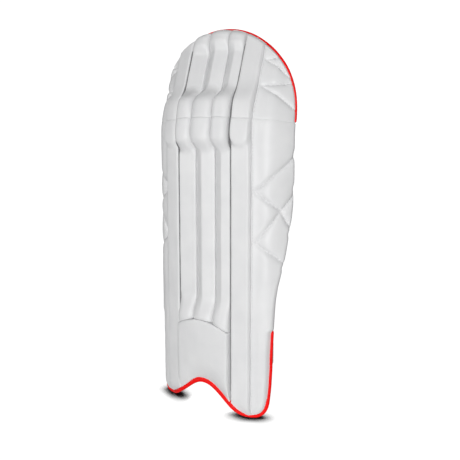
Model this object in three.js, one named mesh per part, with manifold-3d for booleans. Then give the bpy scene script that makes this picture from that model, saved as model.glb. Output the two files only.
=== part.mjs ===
// Wicket-keeper's cricket leg pad, built as separate pieces, in millimetres, +Z up.
//
// The pad stands on its two bottom lobes and faces -Y. Every padded piece is laid out in pad
// coordinates: s runs round the leg from the middle of the front, t runs up the pad from the floor,
// and h stands out from the backing towards the bowler. The shin section is upright, the knee section
// leans back above the knee seam, and each of the three straps closes the open back of the pad.
import * as THREE from 'three';
import { mergeVertices } from 'three/addons/utils/BufferGeometryUtils.js';
import Module from 'manifold-3d';

// ---------------------------------------------------------------- driving dimensions
const KNEE_HEIGHT = 500;       // t of the knee seam
const UPPER_LENGTH = 156;      // knee seam to the crown
const KNEE_LEAN = 17.5;        // degrees that the knee section leans back
const KNEE_BEND = 30;          // half the length over which it leans
const PIVOT_DEPTH = 20;        // the knee flexes about a line this far behind the backing
const CENTRE_EDGE = 20.5;      // s of the seam beside the centre roll
const INNER_EDGE = 54;         // s of the seam beside the inner roll
const BOLSTER_EDGE = 88;       // s of the seam between bolster and wing
const UPPER_HALF_WIDTH = 155;  // s of the knee section's rear edge
const ARCH_HEIGHT = 48;        // instep arch above the floor
const ARCH_HALF_WIDTH = 86;
const INSTEP_TOP = 163;        // upper edge of the instep panel, in the middle
const INSTEP_TOP_DROP = 15.5;  // how much lower it is at its sides
const BACKING = 6;             // thickness of the backing board and lining
const ROLL_HEIGHT = 20;        // stuffed rolls and bolsters
const KNEE_ROLL_HEIGHT = 12;   // extra height of the knee rolls
const KNEE_ROLL_LENGTH = 46;
const INSTEP_HEIGHT = 30;      // instep panel and the swollen roll ends above it
const WING_HEIGHT = 7;         // wing in front of the backing's face
const EDGE_HEIGHT = 8;         // where a piece tapers to the binding
const BINDING = 6;             // width of the red edge binding
const BINDING_TOP = 155;       // t where the lower binding ends on the rear edges
const EDGE_ROOM = 1;           // clearance between the binding and the pieces it edges
const GAP = 0.4;               // clearance between other neighbours
const KNEE_GAP = 7;            // rolls stop this far from the knee seam
const KNEE_GAP_WING = 12;      // and the wings this far
const CANE_RADIUS = 4;
const STRAP_WIDTH = 38;
const WEBBING = 2.5;
const PATCH = 1.5;

// Angle round the leg (degrees) at each s: nearly flat in front, then round to the wings.
const WRAP = [[0, 0], [20, 2], [54, 6], [88, 12], [95, 18], [112, 30], [128, 48], [145, 62], [180, 70]];
// Rear edge of the lower wing, as s at each t: narrow at the ankle, wide at the calf.
const WING_EDGE = [
  [0, 105], [4, 113], [10, 117.5], [22, 120], [60, 121], [110, 121], [150, 122.5], [190, 124.5], [209, 126],
  [229, 129], [248, 133.5], [268, 138.5], [287, 142], [306, 145], [326, 148.5], [345, 151.5], [365, 153.5],
  [385, 154.5], [410, 155], [500, 155],
];

const COLOURS = { leather: 0xe9e9ea, binding: 0xe8171c, lining: 0xd9dadc, webbing: 0xf0f0ef, cane: 0xc9a66b,
  hook: 0x55575c, loop: 0xe4e4e2, web: 0xdcdcdc };

const rad = THREE.MathUtils.degToRad;
const clamp = THREE.MathUtils.clamp;
const smooth = (x) => THREE.MathUtils.smoothstep(x, 0, 1);
const mix = (a, b, f) => a + (b - a) * f;
const range = (count, from = 0, to = 1) => Array.from({ length: count + 1 }, (_, i) => mix(from, to, i / count));

function table(points, x) {
  const last = points[points.length - 1];
  if (x <= points[0][0]) return points[0][1];
  if (x >= last[0]) return last[1];
  const i = points.findIndex(([at]) => at > x);
  const [[x0, y0], [x1, y1]] = [points[i - 1], points[i]];
  return y0 + ((y1 - y0) * (x - x0)) / (x1 - x0);
}

// ---------------------------------------------------------------- pad coordinates
const STEP = 0.5;

// Running integral of (cos, sin) of an angle, sampled every STEP.
function integrate(angleAt, length) {
  const path = [[0, 0]];
  for (let x = STEP; x <= length; x += STEP) {
    const a = angleAt(x - STEP / 2);
    const [c, n] = path[path.length - 1];
    path.push([c + STEP * Math.cos(a), n + STEP * Math.sin(a)]);
  }
  return (x) => {
    const i = clamp(Math.floor(x / STEP), 0, path.length - 2);
    const f = x / STEP - i;
    return [0, 1].map((k) => path[i][k] + f * (path[i + 1][k] - path[i][k]));
  };
}

const wrapAngle = (s) => rad(table(WRAP, s));
const leanAngle = (t) => rad(KNEE_LEAN) * smooth((t - KNEE_HEIGHT + KNEE_BEND) / (2 * KNEE_BEND));
const section = integrate(wrapAngle, 185);
const spine = integrate(leanAngle, KNEE_HEIGHT + UPPER_LENGTH + 20);

// Point of the cross-section in its own plane: x to the side, y to the back.
function inSection(s, h) {
  const side = Math.sign(s);
  const [x, y] = section(Math.abs(s));
  const a = wrapAngle(Math.abs(s));
  return [side * (x + h * Math.sin(a)), y - h * Math.cos(a)];
}

function place(s, t, h) {
  const [x, y] = inSection(s, h);
  const [up, back] = spine(t);
  const a = leanAngle(t);
  const depth = y - PIVOT_DEPTH;
  return new THREE.Vector3(x, PIVOT_DEPTH + back + depth * Math.cos(a), up - depth * Math.sin(a));
}

// ---------------------------------------------------------------- outlines in pad coordinates
const archAt = (s) => ARCH_HEIGHT * (1 + Math.cos(Math.PI * clamp(Math.abs(s) / ARCH_HALF_WIDTH, 0, 1))) / 2;
const instepTopAt = (s) => INSTEP_TOP - INSTEP_TOP_DROP * (s / INNER_EDGE) ** 2;
const wingEdgeAt = (t) => table(WING_EDGE, t);

// Right half of the lower outline, from the top of the arch down and up the rear edge to the binding's end.
const edgeHeights = [...WING_EDGE.map(([t]) => t).filter((t) => t < BINDING_TOP), BINDING_TOP];
const halfOutline = [
  ...range(12, ARCH_HALF_WIDTH / 12, ARCH_HALF_WIDTH).map((s) => [s, archAt(s)]),
  ...edgeHeights.map((t) => [wingEdgeAt(t), t]),
];
const lowerOutline = [...halfOutline.map(([s, t]) => [-s, t]).reverse(), [0, ARCH_HEIGHT], ...halfOutline];

// The line that runs beside an outline, on its left-hand side.
function inset(outline, width) {
  return outline.map(([s, t], i) => {
    const before = outline[Math.max(0, i - 1)];
    const after = outline[Math.min(outline.length - 1, i + 1)];
    const [ds, dt] = [after[0] - before[0], after[1] - before[1]];
    const scale = width / Math.hypot(ds, dt);
    return [s - scale * dt, t + scale * ds];
  });
}

// Pieces that stop short of the bindings: their foot at each s, and their rear edge at each t.
const insideLower = inset(lowerOutline, BINDING + EDGE_ROOM).filter(([s]) => s >= 0);
const floorLine = insideLower.filter(([s]) => s < 100);
const footAt = (s) => table(floorLine, Math.abs(s));
const edgeInsideLower = insideLower.filter(([s]) => s > 100).map(([s, t]) => [t, s]);
const boundEdgeAt = (t) => (t < BINDING_TOP + 1 ? table(edgeInsideLower, t) : wingEdgeAt(t));
const upperEdgeAt = (t) => UPPER_HALF_WIDTH * Math.sqrt(1 - ((t - KNEE_HEIGHT) / UPPER_LENGTH) ** 2);
const INSIDE_WIDTH = UPPER_HALF_WIDTH - BINDING - EDGE_ROOM;
const INSIDE_LENGTH = UPPER_LENGTH - BINDING - EDGE_ROOM;
const crownInsideAt = (s) => KNEE_HEIGHT + INSIDE_LENGTH * Math.sqrt(1 - (s / INSIDE_WIDTH) ** 2);
const upperInsideAt = (t) => INSIDE_WIDTH * Math.sqrt(1 - ((t - KNEE_HEIGHT) / INSIDE_LENGTH) ** 2);

// ---------------------------------------------------------------- solids
// A closed slab: outer(u, v) and inner(u, v) give its two faces, and its rim joins them.
function slab(us, vs, outer, inner) {
  const columns = us.length;
  const points = [];
  for (const face of [outer, inner]) for (const v of vs) for (const u of us) points.push(face(u, v));
  const at = (face, i, j) => face * columns * vs.length + j * columns + i;
  const index = [];
  const quad = (a, b, c, d) => index.push(a, b, c, a, c, d);
  for (let j = 0; j < vs.length - 1; j += 1) {
    for (let i = 0; i < columns - 1; i += 1) {
      quad(at(0, i, j), at(0, i + 1, j), at(0, i + 1, j + 1), at(0, i, j + 1));
      quad(at(1, i, j), at(1, i, j + 1), at(1, i + 1, j + 1), at(1, i + 1, j));
    }
    quad(at(1, 0, j), at(0, 0, j), at(0, 0, j + 1), at(1, 0, j + 1));
    quad(at(0, columns - 1, j), at(1, columns - 1, j), at(1, columns - 1, j + 1), at(0, columns - 1, j + 1));
  }
  const top = vs.length - 1;
  for (let i = 0; i < columns - 1; i += 1) {
    quad(at(1, i, 0), at(1, i + 1, 0), at(0, i + 1, 0), at(0, i, 0));
    quad(at(0, i, top), at(0, i + 1, top), at(1, i + 1, top), at(1, i, top));
  }
  const geometry = new THREE.BufferGeometry().setFromPoints(points);
  geometry.setIndex(index);
  return geometry;
}

const wasm = await Module();
wasm.setup();

function solidOf(geometry) {
  const bare = geometry.clone();
  bare.deleteAttribute('normal');
  bare.deleteAttribute('uv');
  const merged = mergeVertices(bare);
  return new wasm.Manifold(new wasm.Mesh({
    numProp: 3,
    vertProperties: new Float32Array(merged.attributes.position.array),
    triVerts: new Uint32Array(merged.index.array),
  }));
}

function geometryOf(solid) {
  const { vertProperties, triVerts } = solid.getMesh();
  const geometry = new THREE.BufferGeometry();
  geometry.setAttribute('position', new THREE.BufferAttribute(vertProperties, 3));
  geometry.setIndex(new THREE.BufferAttribute(triVerts, 1));
  return geometry;
}

// ---------------------------------------------------------------- scene graph
const pad = new THREE.Group();

function add(name, geometry, colour, parent = pad) {
  const mesh = new THREE.Mesh(geometry, new THREE.MeshStandardMaterial({
    color: COLOURS[colour], roughness: colour === 'leather' ? 0.5 : 0.8, metalness: 0,
  }));
  mesh.name = name;
  parent.add(mesh);
  return mesh;
}

// ---------------------------------------------------------------- rolls, bolsters and their canes
const ACROSS = [0, 0.14, 0.5, 0.86, 1];
const SHOULDER = [0.62, 0.94, 1, 0.94, 0.62];

function kneeRoll(t) {
  const from = Math.abs(t - KNEE_HEIGHT) / KNEE_ROLL_LENGTH;
  return from < 1 ? KNEE_ROLL_HEIGHT * Math.sin(Math.PI * from) ** 0.7 : 0;
}

const swollenEnd = (t) => (INSTEP_HEIGHT - ROLL_HEIGHT) * smooth((185 - t) / 30);

// One stuffed channel between s0 and s1, from bottomAt(s) to topAt(s), tapered where it meets a binding.
function roll(s0, s1, bottomAt, topAt, rows, heightAt, taperBottom, taperTop) {
  const at = (u, v) => {
    const s = mix(s0, s1, u);
    return [s, mix(bottomAt(s), topAt(s), v)];
  };
  const outer = (u, v) => {
    const [s, t] = at(u, v);
    const shoulder = SHOULDER[ACROSS.indexOf(u)];
    const full = heightAt(t) * shoulder;
    const fromEdge = Math.min(taperBottom ? t - bottomAt(s) : 99, taperTop ? topAt(s) - t : 99);
    return place(s, t, mix(Math.min(full, EDGE_HEIGHT), full, smooth(fromEdge / 12)));
  };
  return slab(ACROSS, rows, outer, (u, v) => place(...at(u, v), 0));
}

// A straight round bar between two points.
function bar(from, to, radius) {
  const axis = to.clone().sub(from);
  const geometry = new THREE.CylinderGeometry(radius, radius, axis.length(), 10);
  const turn = new THREE.Quaternion().setFromUnitVectors(new THREE.Vector3(0, 1, 0), axis.normalize());
  const middle = from.clone().lerp(to, 0.5);
  return geometry.applyQuaternion(turn).translate(middle.x, middle.y, middle.z);
}

// Adds a roll with a pocket bored for its cane, open at the knee end, and the cane itself.
function addWithCane(name, geometry, blindEnd, kneeEnd) {
  const along = kneeEnd.clone().sub(blindEnd).normalize();
  const pocket = bar(
    blindEnd.clone().addScaledVector(along, -1),
    kneeEnd.clone().addScaledVector(along, KNEE_ROLL_LENGTH),
    CANE_RADIUS + GAP,
  );
  add(name, geometryOf(solidOf(geometry).subtract(solidOf(pocket))), 'leather');
  add(`cane_${name}`, bar(blindEnd, kneeEnd, CANE_RADIUS), 'cane');
}

const CHANNELS = [
  { name: 'left_bolster', s0: -BOLSTER_EDGE, s1: -INNER_EDGE, bolster: true },
  { name: 'inner_left_roll', s0: -INNER_EDGE, s1: -CENTRE_EDGE },
  { name: 'centre_roll', s0: -CENTRE_EDGE, s1: CENTRE_EDGE },
  { name: 'inner_right_roll', s0: CENTRE_EDGE, s1: INNER_EDGE },
  { name: 'right_bolster', s0: INNER_EDGE, s1: BOLSTER_EDGE, bolster: true },
];
const SHIN_ROWS = [0, 0.015, 0.04, 0.09, 0.4, 0.75, 0.89, 0.92, 0.95, 0.98, 1];
const KNEE_ROWS = [0, 0.1, 0.2, 0.32, 0.6, 0.86, 0.94, 1];
const CANE_DEPTH = 9.5;
const CANE_TOP_SHIN = KNEE_HEIGHT - KNEE_ROLL_LENGTH;
const CANE_FOOT_KNEE = KNEE_HEIGHT + KNEE_BEND + 8;
const WELT_ROOM = 1.6;        // the bolsters and wings leave this for the welt between them

for (const { name, s0, s1, bolster } of CHANNELS) {
  const trim = (s) => Math.sign(s) * (Math.abs(s) - (Math.abs(s) === BOLSTER_EDGE ? WELT_ROOM : 0));
  const [a, b] = [trim(s0) + GAP / 2, trim(s1) - GAP / 2];
  const middle = (a + b) / 2;
  const bottomAt = bolster ? footAt : (s) => instepTopAt(s) + GAP;
  const shinHeight = (t) => ROLL_HEIGHT + kneeRoll(t) + (bolster ? 0 : swollenEnd(t));
  const shinTop = KNEE_HEIGHT - KNEE_GAP;
  const shin = roll(a, b, bottomAt, () => shinTop, SHIN_ROWS, shinHeight, bolster, false);
  const foot = bottomAt(middle) + 12;
  addWithCane(`${name}_shin`, shin, place(middle, foot, CANE_DEPTH), place(middle, CANE_TOP_SHIN, CANE_DEPTH));

  const kneeHeight = (t) => ROLL_HEIGHT + kneeRoll(t);
  const knee = roll(a, b, () => KNEE_HEIGHT + KNEE_GAP, crownInsideAt, KNEE_ROWS, kneeHeight, false, true);
  const head = crownInsideAt(Math.max(Math.abs(a), Math.abs(b))) - 16;
  addWithCane(`${name}_knee`, knee, place(middle, head, CANE_DEPTH), place(middle, CANE_FOOT_KNEE, CANE_DEPTH));
}

// ---------------------------------------------------------------- instep panel
{
  const us = range(12);
  const span = INNER_EDGE - GAP / 2;
  const at = (u, v) => {
    const s = mix(-span, span, u);
    return [s, mix(footAt(s), instepTopAt(s), v)];
  };
  const outer = (u, v) => {
    const [s, t] = at(u, v);
    const fromSide = span - Math.abs(s);
    const full = mix(ROLL_HEIGHT, INSTEP_HEIGHT, smooth(fromSide / 10));
    return place(s, t, mix(EDGE_HEIGHT, full, smooth((t - footAt(s)) / 14)));
  };
  add('instep_panel', slab(us, [0, 0.1, 0.25, 0.92, 1], outer, (u, v) => place(...at(u, v), 0)), 'leather');
}

// ---------------------------------------------------------------- backing boards
function backing(name, bottomAt, topAt, rows) {
  const span = BOLSTER_EDGE - WELT_ROOM;
  const face = (h) => (u, v) => {
    const s = mix(-span, span, u);
    return place(s, mix(bottomAt(s), topAt(s), v), h);
  };
  add(name, slab(range(16), rows, face(-GAP), face(-BACKING)), 'lining');
}
backing('shin_backing', footAt, () => KNEE_HEIGHT - KNEE_GAP, [0, 0.93, 0.97, 1]);
backing('knee_backing', () => KNEE_HEIGHT + KNEE_GAP, crownInsideAt, [0, 0.1, 0.2, 1]);

// ---------------------------------------------------------------- wings
function wing(name, side, ts, edgeAt) {
  const inset = BOLSTER_EDGE + WELT_ROOM;
  const us = range(8);
  const at = (u, t) => side * mix(inset, edgeAt(t), u);
  const thickness = (u) => WING_HEIGHT * (u === 1 ? 0.4 : 1);
  const outer = (u, t) => place(at(u, t), t, thickness(u));
  const inner = (u, t) => place(at(u, t), t, -BACKING);
  const across = side > 0 ? us : [...us].reverse();
  add(name, slab(across, ts, outer, inner), 'leather');
}

const LOWER_TS = [
  BINDING + EDGE_ROOM, 10, 18, 30, 70, 130, BINDING_TOP + 0.9, BINDING_TOP + 1.1, 205, 250, 300, 380, 470,
  KNEE_HEIGHT - KNEE_GAP_WING,
];
const UPPER_TS = [KNEE_HEIGHT + KNEE_GAP_WING, 530, 550, 570, 590, 605, 615];
for (const [label, side] of [['left', -1], ['right', 1]]) {
  wing(`${label}_wing_shin`, side, LOWER_TS, boundEdgeAt);
  wing(`${label}_wing_knee`, side, UPPER_TS, upperInsideAt);
}

// ---------------------------------------------------------------- welts between bolster and wing
for (const [label, side] of [['left', -1], ['right', 1]]) {
  for (const [part, t0, t1] of [['shin', 8, KNEE_HEIGHT - KNEE_GAP_WING], ['knee', KNEE_HEIGHT + KNEE_GAP_WING, 612]]) {
    const s0 = side * BOLSTER_EDGE - (WELT_ROOM - GAP);
    const s1 = side * BOLSTER_EDGE + (WELT_ROOM - GAP);
    const ts = part === 'shin' ? [t0, 480, t1] : [t0, 530, t1];
    const face = (h) => (u, t) => place(mix(s0, s1, u), t, h);
    add(`${label}_welt_${part}`, slab([0, 1], ts, face(WING_HEIGHT + 1), face(-2)), 'leather');
  }
}

// ---------------------------------------------------------------- edge bindings
// A band of the binding's width along the inner side of an outline.
function binding(name, outline) {
  const inner = inset(outline, BINDING);
  const rows = [...outline.keys()];
  const face = (h) => (u, v) => place(...(u === 0 ? inner[v] : outline[v]), h);
  add(name, slab([0, 1], rows, face(EDGE_HEIGHT), face(-BACKING)), 'binding');
}

binding('instep_binding', lowerOutline);

// Crown of the knee section, from its right rear edge over to its left.
const crownAngles = range(26, 4.5, 175.5).map(rad);
binding('crown_binding', crownAngles.map((a) => [
  UPPER_HALF_WIDTH * Math.cos(a), KNEE_HEIGHT + UPPER_LENGTH * Math.sin(a),
]));

// ---------------------------------------------------------------- padding on the leg side
// A low cushion on the backing's inner face, thinner at its rim.
function cushion(name, s0, s1, t0, t1, depth, bottomAt = null) {
  const us = [0, 0.2, 0.5, 0.8, 1];
  const vs = [0, 0.08, 0.5, 0.92, 1];
  const rim = (u, v) => (u === 0 || u === 1 || v === 0 || v === 1 ? 0.45 : 1);
  const at = (u, v) => {
    const s = mix(s0, s1, u);
    return [s, mix(bottomAt ? bottomAt(s) : t0, t1, v)];
  };
  const front = -BACKING - GAP;
  const outer = (u, v) => place(...at(u, v), front);
  add(name, slab(us, vs, outer, (u, v) => place(...at(u, v), front - depth * rim(u, v))), 'lining');
}
cushion('shin_cushion_left', -62, -20, 118, 480, 15);
cushion('shin_cushion_right', 20, 62, 118, 480, 15);
cushion('instep_cushion', -62, 62, 0, 112, 11, (s) => footAt(s) + 4);
cushion('knee_cushion', -66, 66, KNEE_HEIGHT + 32, KNEE_HEIGHT + 118, 14);

// ---------------------------------------------------------------- flexible web across the knee seam
{
  const reach = KNEE_GAP - GAP;
  const ts = [KNEE_HEIGHT - reach, KNEE_HEIGHT, KNEE_HEIGHT + reach];
  const span = BOLSTER_EDGE - 4;
  const face = (h) => (u, t) => place(mix(-span, span, u), t, h);
  add('knee_hinge_web', slab(range(6), ts, face(3), face(-BACKING)), 'web');
}

// ---------------------------------------------------------------- straps
// Each strap is sewn inside the right wing's rear edge, goes round the back of the leg and presses onto
// a loop patch inside the left wing. Its group lies in the pad's cross-section plane at the strap's t.
const STRAPS = [
  { name: 'ankle', t: 112, edgeAt: wingEdgeAt, bow: 112, leave: 84, out: 1.5 },
  { name: 'calf', t: 352, edgeAt: wingEdgeAt, bow: 62, leave: 64, out: 3 },
  { name: 'knee', t: 552, edgeAt: upperEdgeAt, bow: 56, leave: 64, out: 3 },
];
const ANCHOR_LENGTH = 42;
const TAIL_LENGTH = 38;
// Each strap turns about a line a little way out from the wing's edge, and leaves at its own angle (degrees).
const TURN = 12;              // length over which it bends round the left wing's edge
const INSIDE = -BACKING - 0.6;

// A band between two lists of points of the section plane, as tall as the strap is wide.
function band(outside, inside, height) {
  const shape = new THREE.Shape([...outside, ...[...inside].reverse()].map(([x, y]) => new THREE.Vector2(x, y)));
  const geometry = new THREE.ExtrudeGeometry(shape, { depth: height, bevelEnabled: false });
  return geometry.translate(0, 0, -height / 2);
}

// The part of the wing's inner face from s0 to s1, as a band between depths h0 and h1.
function onWing(s0, s1, h0, h1, height) {
  const ss = range(5, s0, s1);
  return band(ss.map((s) => inSection(s, h0)), ss.map((s) => inSection(s, h1)), height);
}

for (const { name, t, edgeAt, bow, leave, out } of STRAPS) {
  const edge = Math.min(edgeAt(t - STRAP_WIDTH / 2 - 2), edgeAt(t + STRAP_WIDTH / 2 + 2));
  const group = new THREE.Group();
  const [up, back] = spine(t);
  const lean = leanAngle(t);
  group.position.set(0, back + PIVOT_DEPTH * (1 - Math.cos(lean)), up + PIVOT_DEPTH * Math.sin(lean));
  group.rotation.x = -lean;
  pad.add(group);

  const sewn = onWing(edge - ANCHOR_LENGTH, edge - 2, INSIDE, INSIDE - WEBBING, STRAP_WIDTH);
  add(`${name}_strap_anchor`, sewn, 'webbing', group);
  const patchEdge = 10 - edge;
  const loopBack = INSIDE - PATCH;
  const hookFront = loopBack - GAP;
  const tailFront = hookFront - PATCH - GAP;
  const loops = onWing(patchEdge, patchEdge + TAIL_LENGTH + 6, INSIDE, loopBack, STRAP_WIDTH + 4);
  add(`${name}_loop_patch`, loops, 'loop', group);
  const hooks = onWing(patchEdge + 4, patchEdge + TAIL_LENGTH - 4, hookFront, hookFront - PATCH, STRAP_WIDTH - 4);
  add(`${name}_hook_patch`, hooks, 'hook', group);

  // Centre line: a bow round the leg from the hinge, a bend at the left wing's edge, then the tail.
  const wing = wrapAngle(edge);
  const [ex, ey] = inSection(edge, INSIDE - WEBBING / 2);
  const hinge = new THREE.Vector2(ex + out * Math.cos(wing), ey + out * Math.sin(wing));
  const leaving = new THREE.Vector2(Math.cos(wing + rad(leave)), Math.sin(wing + rad(leave)));
  const arriving = new THREE.Vector2(-leaving.x, leaving.y);
  const tailMiddle = tailFront - WEBBING / 2;
  const corner = new THREE.Vector2(...inSection(-edge - out, tailMiddle));
  const bend = corner.clone().addScaledVector(arriving, TURN);
  const landing = new THREE.Vector2(...inSection(patchEdge, tailMiddle));
  const line = [
    ...new THREE.CubicBezierCurve(
      hinge, hinge.clone().addScaledVector(leaving, bow), bend.clone().addScaledVector(arriving, bow), bend,
    ).getPoints(14),
    ...new THREE.QuadraticBezierCurve(bend, corner, landing).getPoints(4).slice(1),
    ...range(5, patchEdge, patchEdge + TAIL_LENGTH).slice(1).map((s) => new THREE.Vector2(...inSection(s, tailMiddle))),
  ];
  const side = (sign) => line.map((point, i) => {
    const before = line[Math.max(0, i - 1)];
    const after = line[Math.min(line.length - 1, i + 1)];
    const along = after.clone().sub(before).setLength(WEBBING / 2);
    return [point.x + sign * along.y, point.y - sign * along.x];
  });
  add(`${name}_strap`, band(side(1), side(-1), STRAP_WIDTH), 'webbing', group);
}

// ---------------------------------------------------------------- frame
// The origin is on the floor, under the middle of the pad's own box.
const box = new THREE.Box3().setFromObject(pad);
pad.position.set(-(box.min.x + box.max.x) / 2, -(box.min.y + box.max.y) / 2, -box.min.z);

export default pad;
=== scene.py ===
"""Wicket-keeper's cricket leg pad: white coated leathercloth over stuffed rolls, with red edge bindings.

Lengths are in millimetres in pad coordinates until a mesh is made: s runs round the leg from the middle
of the front, t runs up the pad, and h stands out from the backing towards the front.
"""

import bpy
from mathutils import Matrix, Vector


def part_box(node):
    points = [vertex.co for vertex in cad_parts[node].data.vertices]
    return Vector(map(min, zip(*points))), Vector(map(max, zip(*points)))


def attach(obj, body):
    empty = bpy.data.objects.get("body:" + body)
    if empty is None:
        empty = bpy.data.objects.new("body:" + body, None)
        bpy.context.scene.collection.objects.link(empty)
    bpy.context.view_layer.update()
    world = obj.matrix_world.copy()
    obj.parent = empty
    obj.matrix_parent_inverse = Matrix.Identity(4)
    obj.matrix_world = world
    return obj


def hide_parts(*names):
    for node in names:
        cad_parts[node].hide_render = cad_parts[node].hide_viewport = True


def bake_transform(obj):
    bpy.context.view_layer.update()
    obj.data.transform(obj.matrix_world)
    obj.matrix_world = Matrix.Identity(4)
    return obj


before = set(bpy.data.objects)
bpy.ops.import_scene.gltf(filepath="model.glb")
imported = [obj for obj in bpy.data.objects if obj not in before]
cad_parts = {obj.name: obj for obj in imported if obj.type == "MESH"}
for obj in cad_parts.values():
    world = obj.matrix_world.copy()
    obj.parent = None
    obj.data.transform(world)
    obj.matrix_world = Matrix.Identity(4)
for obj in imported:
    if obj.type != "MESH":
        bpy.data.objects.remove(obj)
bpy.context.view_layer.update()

import math

import bmesh
import bpy
import numpy as np
from mathutils import Vector
from mathutils.bvhtree import BVHTree

# ---- dimensions, as in the CAD
KNEE = 500.0  # t of the seam the knee section bends about
UPPER_LENGTH = 156.0
UPPER_HALF_WIDTH = 155.0
KNEE_LEAN = math.radians(17.5)
KNEE_BEND = 30.0
PIVOT_DEPTH = 20.0
CENTRE_EDGE, INNER_EDGE, BOLSTER_EDGE = 20.5, 54.0, 88.0
ARCH_HEIGHT, ARCH_HALF_WIDTH = 48.0, 86.0
INSTEP_TOP, INSTEP_TOP_DROP = 163.0, 15.5
BINDING = 7.0  # width of the binding's lips
BINDING_TOP = 155.0
EDGE_HEIGHT = 8.0
BACKING = 6.0
# How far the section has turned round the leg, in degrees, at a distance from the middle.
WRAP = [(0, 0), (20, 2), (54, 6), (88, 12), (95, 18), (112, 30), (128, 48), (145, 62), (180, 70)]
# The wings' edge, as (t, s).
WING_EDGE = [(0, 105), (4, 113), (10, 117.5), (22, 120), (60, 121), (110, 121), (150, 122.5), (190, 124.5),
             (209, 126), (229, 129), (248, 133.5), (268, 138.5), (287, 142), (306, 145), (326, 148.5),
             (345, 151.5), (365, 153.5), (385, 154.5), (410, 155), (500, 155)]

# ---- where the cover departs from the CAD
CROWN_BINDING = 4.4  # width of the crown's front lip
LEFT_ARCH_WIDER = 0.09
INSTEP_RISE = 11.5  # how far the instep's edge stands in front of the lobes' edge
RIGHT_EDGE = [(0, 89), (0.8, 94), (2.0, 99), (5.8, 106), (11.5, 111.5), (19, 114.8), (29, 117),
              (56, 119.5), (90, 121)] + WING_EDGE[5:]
LEFT_EDGE = [(0, 111), (2, 115.5), (6, 118.5), (14, 120.5), (30, 121)] + WING_EDGE[4:]

SEAM_GAP = 0.06  # between the covers on each side of the knee seam
UNDER_LIP = 1.2  # how far a cover's edge reaches under the lower binding
ROOM = BINDING - UNDER_LIP
CROWN_ROOM = CROWN_BINDING - 1.0
COVER_BACK = 0.6  # h of the covers' hidden back face
EDGE_COVER = EDGE_HEIGHT - 0.8  # h of a cover where it goes under a binding


def smooth(x):
    x = np.clip(x, 0, 1)
    return x * x * (3 - 2 * x)


def mix(a, b, f):
    return a + (b - a) * f


def bump(x):
    return np.exp(-np.square(x))


def lookup(points, x):
    return np.interp(x, [p[0] for p in points], [p[1] for p in points])


# ---- pad coordinates
def integral(angles, step):
    middle = (angles[1:] + angles[:-1]) / 2
    return [np.concatenate([[0], np.cumsum(f(middle) * step)]) for f in (np.cos, np.sin)]


S_GRID = np.arange(0, 190, 0.25)
T_GRID = np.arange(-5, 690, 0.25)
WRAP_ANGLE = np.radians(lookup(WRAP, S_GRID))
LEAN_ANGLE = KNEE_LEAN * smooth((T_GRID - KNEE + KNEE_BEND) / (2 * KNEE_BEND))
SECTION_X, SECTION_Y = integral(WRAP_ANGLE, 0.25)
SPINE_Z, SPINE_Y = integral(LEAN_ANGLE, 0.25)
SPINE_Z -= 5
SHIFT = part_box("instep_binding")[0].y * 1000 + EDGE_HEIGHT


def place(s, t, h):
    """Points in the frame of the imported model, in metres."""
    s, t, h = np.broadcast_arrays(np.asarray(s, float), t, h)
    around = np.abs(s)
    wrap = np.interp(around, S_GRID, WRAP_ANGLE)
    x = np.sign(s) * (np.interp(around, S_GRID, SECTION_X) + h * np.sin(wrap))
    depth = np.interp(around, S_GRID, SECTION_Y) - h * np.cos(wrap) - PIVOT_DEPTH
    lean = np.interp(t, T_GRID, LEAN_ANGLE)
    y = PIVOT_DEPTH + np.interp(t, T_GRID, SPINE_Y) + depth * np.cos(lean) + SHIFT
    z = np.interp(t, T_GRID, SPINE_Z) - depth * np.sin(lean)
    return np.stack([x, y, z], -1) * 0.001


def along_arch(s):
    """How far down the arch a point lies, 0 at the top to 1 on the lobe. The left side runs wider."""
    wider = (s < 0) * LEFT_ARCH_WIDER * smooth((-s - 25) / 50)
    return np.clip(np.abs(s) * (1 - wider) / ARCH_HALF_WIDTH, 0, 1)


def arch(s):
    return ARCH_HEIGHT * (1 + np.cos(np.pi * along_arch(s))) / 2


def arch_slope(s):
    return ARCH_HEIGHT * np.pi / (2 * ARCH_HALF_WIDTH) * np.sin(np.pi * along_arch(s))


def foot(s, inset):
    """The line a given distance inside the lower outline, below the bolsters and rolls."""
    return arch(s) + inset * np.hypot(1, arch_slope(s))


def lip(s):
    """Width of the binding's front lip. It is sewn wider on the outer half of the arch."""
    return BINDING + 2.6 * smooth((s + 40) / 30) * smooth((70 - s) / 30) - 1.6 * bump((s - 84) / 9)


def arch_rise(s):
    """How far the edge of the padded instep stands in front of the lobes' edge."""
    return INSTEP_RISE * smooth((94 - np.abs(s)) / 42)


def cover_foot(s):
    """The lower edge of the covers, under the binding's front lip."""
    return foot(s, lip(s) - UNDER_LIP)


def instep_top(s):
    return INSTEP_TOP - INSTEP_TOP_DROP * (s / INNER_EDGE) ** 2


def crown(s, inset):
    wide, long = UPPER_HALF_WIDTH - inset, UPPER_LENGTH - inset
    return KNEE + long * np.sqrt(1 - np.minimum(0.999, (s / wide) ** 2))


def upper_edge(t, inset):
    wide, long = UPPER_HALF_WIDTH - inset, UPPER_LENGTH - inset
    return wide * np.sqrt(1 - np.minimum(0.999, ((t - KNEE) / long) ** 2))


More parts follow.
